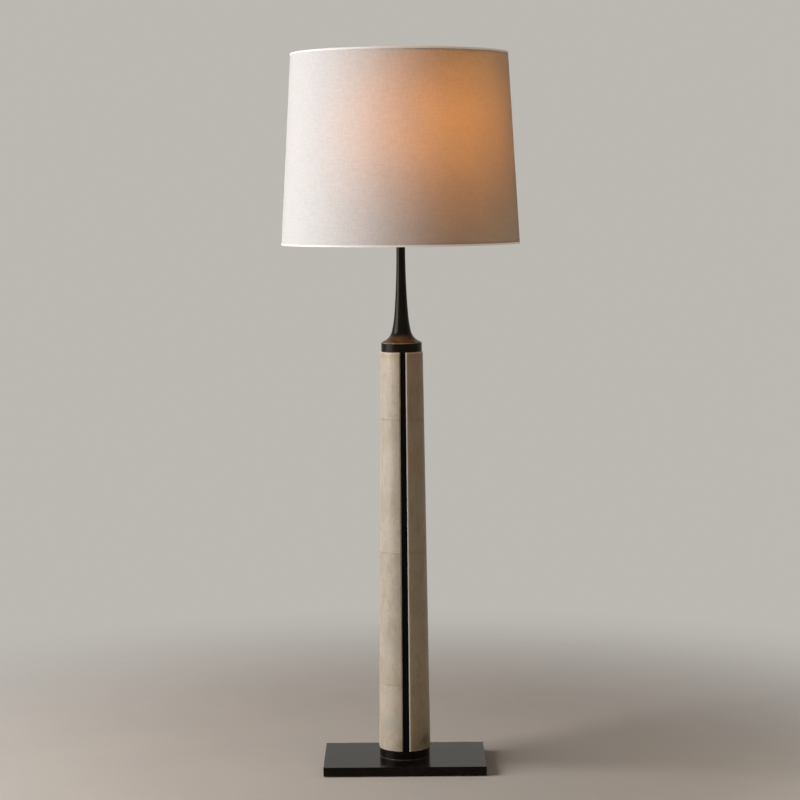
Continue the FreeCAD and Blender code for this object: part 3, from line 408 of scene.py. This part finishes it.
def inner_film(name):
    """The glued faces between the linen and its liner: they only pass the light on."""
    s = Shader(name)
    return s.shows(s.add("ShaderNodeBsdfTranslucent", {"Color": (0.96, 0.95, 0.93, 1)}).outputs[0])


SKIN_SEGMENTS = 288
SKIN_ROWS = 12
LEVEL_SLACK = 0.0005  # heights closer than this are taken as equal


def cone_radii(name):
    """Inner and outer radius of a CAD skin at its bottom and at its top, from its mesh."""
    low, high = (corner.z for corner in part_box(name))
    ends = []
    for level in (low, high):
        radii = [corner.co.xy.length for corner in nodes[name].data.vertices
                 if abs(corner.co.z - level) < LEVEL_SLACK]
        ends.append((min(radii), max(radii)))
    return low, high, ends


def make_skin(name, node, shown, hidden, hidden_outside):
    """A thin round tapered tube in place of a CAD skin, with crisp ends and a material for each of its faces.

    hidden_outside says that the glued face, which gets the hidden material, is the outer one.
    """
    low, high, ends = cone_radii(node)
    shape = bmesh.new()
    walls = []
    for side in (0, 1):
        wall = []
        for row in range(SKIN_ROWS + 1):
            share = row / SKIN_ROWS
            radius = ends[0][side] + (ends[1][side] - ends[0][side]) * share
            height = low + (high - low) * share
            wall.append([shape.verts.new((radius * math.cos(math.tau * step / SKIN_SEGMENTS),
                                          radius * math.sin(math.tau * step / SKIN_SEGMENTS), height))
                         for step in range(SKIN_SEGMENTS)])
        walls.append(wall)
    inner, outer = walls
    for step in range(SKIN_SEGMENTS):
        after = (step + 1) % SKIN_SEGMENTS
        for wall, outside in ((inner, False), (outer, True)):
            for row in range(SKIN_ROWS):
                corners = [wall[row][step], wall[row][after], wall[row + 1][after], wall[row + 1][step]]
                face = shape.faces.new(corners if outside else corners[::-1])
                face.smooth = True
                face.material_index = int(outside == hidden_outside)
        shape.faces.new([inner[0][step], inner[0][after], outer[0][after], outer[0][step]])
        shape.faces.new([outer[-1][step], outer[-1][after], inner[-1][after], inner[-1][step]])
    for edge in shape.edges:
        edge.smooth = all(face.smooth for face in edge.link_faces)
    skin = add_mesh(name, shape, shown, hidden)
    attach(skin, "shade")
    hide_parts(node)


# ---------------------------------------------------------------- bulb

LAMPLIGHT = (1.00, 0.49, 0.20)


def bulb_finish():
    """Frosted glass, lit from inside: brighter in its middle than at its neck."""
    s = Shader("bulb_glass")
    height = s.parts(s.place)[2]
    lit = s.rise(height, BULB_LOW.z, BULB_CENTRE.z, 0.35, 0.8)
    frost = s.noise(s.place, 0.001)
    return s.shows(s.principled((0.90, 0.88, 0.84), 0.35, Emission_Color=(1.0, 0.78, 0.52, 1.0),
                                Emission_Strength=lit, Normal=s.bump(frost, 0.00002)), sampled="NONE")


# ---------------------------------------------------------------- every piece gets its finish

FLANGE_HEIGHT = 0.020  # of the neck's flared foot


def dress():
    flange_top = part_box("neck")[0].z + FLANGE_HEIGHT
    ring_foot, ring_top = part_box("bottom_ring")[0].z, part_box("top_ring")[1].z
    finish(blackened_metal("blackened_plate", turned=False, gloss=0.13, shine=0.13), "base_plate")
    finish(blackened_metal("blackened_neck", turned=True, gloss=0.16, shine=0.13,
                           mottled=0.20, painted_reflection_below=flange_top), "neck")
    finish(blackened_metal("blackened_rings", turned=True, gloss=0.26, shine=0.10, mottled=0.5,
                           worn_glint_at=(ring_foot, ring_top)), "bottom_ring", "top_ring")
    finish(strip_finish(), *(f"strip_{name}" for name in STRIPS))
    finish(plain_metal("zinc_steel", (0.62, 0.61, 0.58), 0.28), "base_washer", "base_nut", "lamp_rod",
           "neck_nut")
    finish(plain_metal("stud_brass", (0.72, 0.52, 0.25), 0.25), "harp_stud", "screw_shell", "centre_contact")
    finish(plain_metal("holder_brass", (0.70, 0.52, 0.27), 0.30, drawn=(0.05, 0.05, 1)), "holder_cap",
           "holder_shell")
    finish(plain_metal("switch_metal", (0.60, 0.60, 0.60), 0.30), "switch_shaft")
    finish(plain_metal("bulb_metal", (0.78, 0.78, 0.77), 0.25, drawn=(0.05, 0.05, 1)), "bulb_base")
    finish(plain_metal("filament", (0.50, 0.48, 0.45), 0.40), "bulb_filament")
    finish(harp_finish(), "harp_saddle", "harp", "harp_sleeve_left", "harp_sleeve_right", "finial")
    finish(moulded("pad_rubber", (0.030, 0.030, 0.030), 0.80, grain=0.0012, depth=0.0001), "foot_pads")
    finish(moulded("bushing_plastic", (0.028, 0.028, 0.028), 0.45), "cord_bushing")
    finish(moulded("holder_plastic", (0.045, 0.038, 0.033), 0.40), "holder_body")
    finish(moulded("knob_plastic", (0.020, 0.020, 0.020), 0.25), "switch_knob")
    finish(moulded("frame_white", (0.60, 0.59, 0.57), 0.35), "shade_spider", "shade_bottom_wire")
    finish(moulded("stem_glass", (0.80, 0.82, 0.82), 0.15), "bulb_stem")
    finish(card_finish(), "holder_paper")
    finish(wood_finish(), "column_core")
    for row in ROWS:
        for quarter, name in enumerate(QUARTERS):
            sheet = f"sheet_{name}_{row}"
            finish(parchment(sheet, 4 * row + quarter, WARMTH[name][row - 1]), sheet)
    make_skin("shade_cloth", "shade_linen", linen("shade_linen", 0.20),
              inner_film("linen_back"), hidden_outside=False)
    make_skin("shade_lining", "shade_liner", liner_finish(0.55),
              inner_film("liner_back"), hidden_outside=True)
    finish(tape_finish(), "top_hem", "bottom_hem")
    finish(bulb_finish(), "bulb_glass")
    for name in ("bulb_glass", "bulb_stem", "bulb_filament"):
        nodes[name].visible_shadow = False


# ---------------------------------------------------------------- the linen's lap seam, at the back

SEAM_WIDTH = 0.012
SEAM_GAP = 0.0001  # between the linen and the band's inner face
SEAM_PROUD = 0.0007  # how far the band's middle stands off the linen
SEAM_THIN = 0.35  # share of its thickness that is left at its edges
SEAM_FLATNESS = 8  # the higher, the later it thins towards its edges
SEAM_END = 0.0042  # from the linen's edges, clear of the trims
SEAM_COLUMNS, SEAM_ROWS = 12, 60


def seam_face(shape, outside):
    """The vertices of the band's inner or outer face, row by row from the bottom."""
    bottom, top, ends = cone_radii("shade_linen")
    slope = (ends[1][1] - ends[0][1]) / (top - bottom)
    low, high = bottom + SEAM_END, top - SEAM_END
    grid = []
    for row in range(SEAM_ROWS + 1):
        height = low + (high - low) * row / SEAM_ROWS
        base = ends[0][1] + slope * (height - bottom)
        line = []
        for column in range(SEAM_COLUMNS + 1):
            across = column / SEAM_COLUMNS - 0.5
            thick = SEAM_THIN + (1 - SEAM_THIN) * (1 - (2 * abs(across)) ** SEAM_FLATNESS)
            radius = base + SEAM_GAP + outside * (SEAM_PROUD - SEAM_GAP) * thick
            angle = math.pi / 2 + across * SEAM_WIDTH / base
            line.append(shape.verts.new((radius * math.cos(angle), radius * math.sin(angle), height)))
        grid.append(line)
    return grid


def make_seam():
    """The outer edge of the linen's overlap: a flat band with soft edges, from trim to trim."""
    shape = bmesh.new()
    inner, outer = seam_face(shape, 0), seam_face(shape, 1)
    for row in range(SEAM_ROWS):
        for column in range(SEAM_COLUMNS):
            a, b = outer[row][column], outer[row][column + 1]
            c, d = outer[row + 1][column + 1], outer[row + 1][column]
            shape.faces.new((b, a, d, c))
            a, b = inner[row][column], inner[row][column + 1]
            c, d = inner[row + 1][column + 1], inner[row + 1][column]
            shape.faces.new((a, b, c, d)).material_index = 1
        for column in (0, SEAM_COLUMNS):
            shape.faces.new((inner[row][column], inner[row + 1][column],
                             outer[row + 1][column], outer[row][column]))
    for column in range(SEAM_COLUMNS):
        for row in (0, SEAM_ROWS):
            shape.faces.new((inner[row][column], inner[row][column + 1],
                             outer[row][column + 1], outer[row][column]))
    bmesh.ops.recalc_face_normals(shape, faces=shape.faces)
    lap = add_mesh("shade_lap", shape, linen("lap_linen", 0.35), inner_film("lap_back"))
    lap.data.shade_smooth()
    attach(lap, "shade")


# ---------------------------------------------------------------- stage, light and camera

BACKGROUND = (0.50, 0.478, 0.445)
FLOOR = (0.74, 0.66, 0.58)
FLOOR_FADE = (0.5, 2.0)  # distances from the lamp where the floor starts to fade and where it ends
FLOOR_SIDES = 96


def make_floor():
    """A round pale floor that fades into the background."""
    shape = bmesh.new()
    bmesh.ops.create_circle(shape, cap_ends=True, segments=FLOOR_SIDES, radius=FLOOR_FADE[1])
    floor = add_mesh("floor", shape)
    s = Shader("floor")
    away = s.add("ShaderNodeVectorMath", {0: s.place}, operation="LENGTH").outputs["Value"]
    cloud = s.noise(s.place, 0.25, detail=3)
    colour = s.mix(s.rise(cloud, 0.3, 0.7, 0.0, 0.12), FLOOR, BACKGROUND)
    matt = s.principled(colour, 0.7, Specular_IOR_Level=0.2)
    clear = s.add("ShaderNodeBsdfTransparent").outputs[0]
    fade = s.rise(away, *FLOOR_FADE)
    fading = s.add("ShaderNodeMixShader", {0: fade, 1: matt, 2: clear}).outputs[0]
    floor.data.materials.append(s.shows(fading))


AMBIENT = 0.06
AMBIENT_COLOUR = (1.0, 1.0, 1.0)
KEY_LEVEL, KEY_COLOUR = 1.19, (0.99, 0.99, 1.00)
FILL_LEVEL, FILL_COLOUR = 0.09, (1.0, 0.82, 0.60)
BULB_POWER = 0.41
BULB_FRONT_POWER = 2.04
BULB_FRONT_TALL = 0.20
BULB_FRONT_AIM = Vector((0.40, -1, -0.10))
BULB_FRONT_SPREAD = math.radians(140)


def make_world():
    """Even soft light, and a plain pale background for the camera and for reflections."""
    world = bpy.data.worlds.new("studio")
    world.use_nodes = True
    tree = world.node_tree
    tree.nodes.clear()
    ray = tree.nodes.new("ShaderNodeLightPath")
    seen, either = (tree.nodes.new("ShaderNodeMath") for _ in range(2))
    seen.operation = either.operation = "MAXIMUM"
    soft, plain = (tree.nodes.new("ShaderNodeBackground") for _ in range(2))
    soft.inputs["Color"].default_value = opaque(AMBIENT_COLOUR)
    soft.inputs["Strength"].default_value = AMBIENT
    plain.inputs["Color"].default_value = opaque(BACKGROUND)
    choice = tree.nodes.new("ShaderNodeMixShader")
    out = tree.nodes.new("ShaderNodeOutputWorld")
    for start, end in ((ray.outputs["Is Camera Ray"], seen.inputs[0]),
                       (ray.outputs["Is Glossy Ray"], either.inputs[0]),
                       (ray.outputs["Is Transmission Ray"], either.inputs[1]),
                       (either.outputs[0], seen.inputs[1]), (seen.outputs[0], choice.inputs[0]),
                       (soft.outputs[0], choice.inputs[1]), (plain.outputs[0], choice.inputs[2]),
                       (choice.outputs[0], out.inputs["Surface"])):
        tree.links.new(start, end)
    bpy.context.scene.world = world


def add_lamp(name, data, place, target):
    """A new lamp that shines towards a target."""
    lamp = add_object(name, data)
    lamp.location = place
    lamp.rotation_euler = (Vector(target) - Vector(place)).to_track_quat("-Z", "Y").to_euler()


def softbox(name, azimuth, distance, height, width, tall, target_height, level, colour):
    """A large lamp at an azimuth from the front, which lights a matt white face to about level."""
    data = bpy.data.lights.new(name, "AREA")
    data.shape = "RECTANGLE"
    data.size, data.size_y = width, tall
    turn = math.radians(azimuth)
    place = (distance * math.sin(turn), -distance * math.cos(turn), height)
    target = (0, 0, target_height)
    gap = (Vector(place) - Vector(target)).length
    data.energy = level * math.pi ** 2 * gap ** 2
    data.color = colour
    add_lamp(name, data, place, target)


def make_lights():
    """A large key on the left, a low warm fill on the right, and the bulb, most of it to the front."""
    softbox("key", azimuth=-75, distance=3.2, height=1.6, width=2.6, tall=2.4, target_height=0.8,
            level=KEY_LEVEL, colour=KEY_COLOUR)
    softbox("fill", azimuth=65, distance=1.3, height=0.45, width=0.9, tall=0.7, target_height=0.45,
            level=FILL_LEVEL, colour=FILL_COLOUR)
    front = bpy.data.lights.new("bulb_front", "AREA")
    front.shape = "ELLIPSE"
    front.size, front.size_y = 2 * BULB_HIGH.x, BULB_FRONT_TALL
    front.spread = BULB_FRONT_SPREAD
    front.energy = BULB_FRONT_POWER
    front.color = LAMPLIGHT
    add_lamp("bulb_front", front, BULB_CENTRE, BULB_CENTRE + BULB_FRONT_AIM)
    bulb = bpy.data.lights.new("bulb", "POINT")
    bulb.energy = BULB_POWER
    bulb.color = LAMPLIGHT
    bulb.shadow_soft_size = 0.5 * BULB_HIGH.x
    add_object("bulb_light", bulb).location = BULB_CENTRE


CAMERA_HEIGHT = 1.305
CAMERA_DISTANCE = 5.038
CAMERA_PITCH, CAMERA_ROLL, CAMERA_YAW = -5.33, 0.48, 0.006  # degrees
CAMERA_LENS, CAMERA_SENSOR = 101.2, 36.0  # millimetres


def make_camera():
    data = bpy.data.cameras.new("camera")
    data.sensor_width = CAMERA_SENSOR
    data.lens = CAMERA_LENS
    camera = add_object("camera", data)
    camera.location = (0, -CAMERA_DISTANCE, CAMERA_HEIGHT)
    camera.rotation_euler = [math.radians(angle) for angle in (90 + CAMERA_PITCH, CAMERA_ROLL, CAMERA_YAW)]
    bpy.context.scene.camera = camera


dress()
make_seam()
make_floor()
make_world()
make_lights()
make_camera()
bpy.context.scene.view_settings.view_transform = "Standard"
bpy.context.scene.cycles.diffuse_bounces = 8  # enough for the light between the liner and the linen
bpy.context.scene.cycles.use_light_tree = False  # the tree finds the bulb's light unevenly through linen
